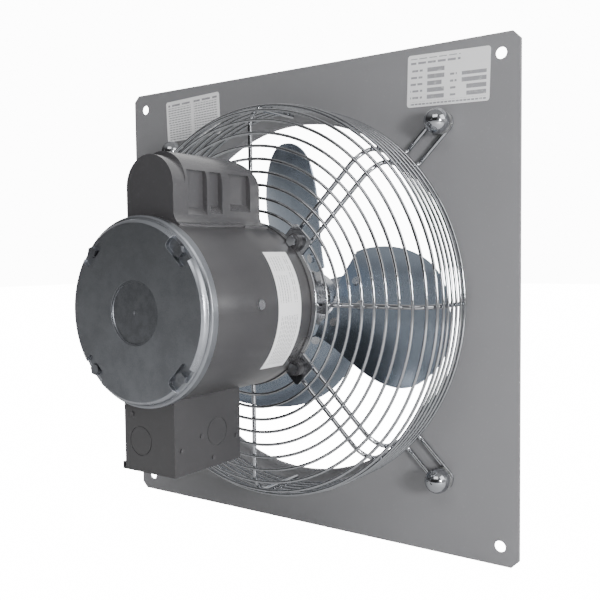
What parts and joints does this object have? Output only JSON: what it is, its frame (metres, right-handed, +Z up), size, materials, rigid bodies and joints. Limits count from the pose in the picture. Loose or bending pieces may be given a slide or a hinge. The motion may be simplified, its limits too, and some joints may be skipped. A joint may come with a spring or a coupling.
{
  "type": "panel mounted exhaust hood fan",
  "caption": "Axial exhaust fan on a square drawn-orifice panel, with a wire ring guard, a capacitor start motor bolted to the guard and a curved sheet propeller.",
  "frame": {"origin": "centre of the square bolt pattern, on the rear face of the panel sheet, on the fan axis", "axes": "+X right and +Z up as seen from the room, +Y through the wall with the air, -Y into the room towards the motor"},
  "size_m": [0.432, 0.2811, 0.432],
  "materials": {
    "panel_paint": "satin grey paint",
    "label_paper": "printed sticker",
    "nameplate_foil": "matt foil",
    "guard_chrome": "bright plated wire",
    "nut_chrome": "bright plated",
    "zinc_steel": "zinc plated",
    "ground_green": "green passivate",
    "motor_paint": "satin dark grey paint",
    "bell_metal": "die cast, machined rim",
    "plug_black": "moulded",
    "blade_metal": "mill finish sheet",
    "spider_metal": "plated",
    "core_steel": "stacked laminations",
    "rotor_aluminium": "die cast",
    "winding_copper": "enamelled copper wire",
    "bearing_steel": "ground",
    "shaft_steel": "ground",
    "switch_plastic": "moulded",
    "capacitor_case": "moulded",
    "terminal_brass": "plain",
    "grommet_rubber": "matt"
  },
  "bodies": {
    "frame": {"bearing_outer_races": "bearing_steel", "bearing_wave_washer": "bearing_steel", "capacitor_cover": "motor_paint", "capacitor_cover_screws": "zinc_steel", "capacitor_cradle": "switch_plastic", "capacitor_terminals": "terminal_brass", "conduit_box": "motor_paint", "conduit_box_lid": "motor_paint", "conduit_box_lid_screws": "zinc_steel", "conduit_box_screws": "zinc_steel", "ground_screw": "ground_green", "guard_dome_nuts": "nut_chrome", "guard_front_rings": "guard_chrome", "guard_motor_tabs": "guard_chrome", "guard_rib_1": "guard_chrome", "guard_rib_2": "guard_chrome", "guard_rib_3": "guard_chrome", "guard_rib_4": "guard_chrome", "guard_shoulder_rings": "guard_chrome", "guard_side_rings": "guard_chrome", "guard_strut_1": "guard_chrome", "guard_strut_2": "guard_chrome", "guard_strut_3": "guard_chrome", "guard_strut_4": "guard_chrome", "guard_studs": "zinc_steel", "guard_washers": "zinc_steel", "instruction_label": "label_paper", "lead_grommet": "grommet_rubber", "motor_clinch_nuts": "zinc_steel", "motor_drive_end_bell": "motor_paint", "motor_mounting_bolts": "zinc_steel", "motor_nameplate": "nameplate_foil", "motor_rear_end_bell": "bell_metal", "motor_shell": "motor_paint", "motor_through_bolts": "zinc_steel", "mounting_panel": "panel_paint", "rating_label": "label_paper", "rear_bearing_cap": "bell_metal", "shell_plug": "plug_black", "start_capacitor": "capacitor_case", "start_switch_plate": "switch_plastic", "stator_core": "core_steel", "stator_winding": "winding_copper", "terminal_board": "switch_plastic", "terminal_posts": "terminal_brass"},
    "rotor": {"motor_shaft": "shaft_steel", "rotor_core": "core_steel", "rotor_end_rings": "rotor_aluminium", "centrifugal_actuator": "switch_plastic", "bearing_inner_races": "bearing_steel", "bearing_balls": "bearing_steel", "propeller_hub": "spider_metal", "hub_set_screw": "zinc_steel", "propeller_spider": "spider_metal", "propeller_blade_1": "blade_metal", "propeller_blade_2": "blade_metal", "propeller_blade_3": "blade_metal", "blade_rivets": "spider_metal"}
  },
  "joints": [
    {"name": "rotor_spin", "type": "hinge", "parent": "frame", "child": "rotor", "pos_m": [0, 0, 0], "axis": [0, 1, 0], "continuous": true}
  ]
}
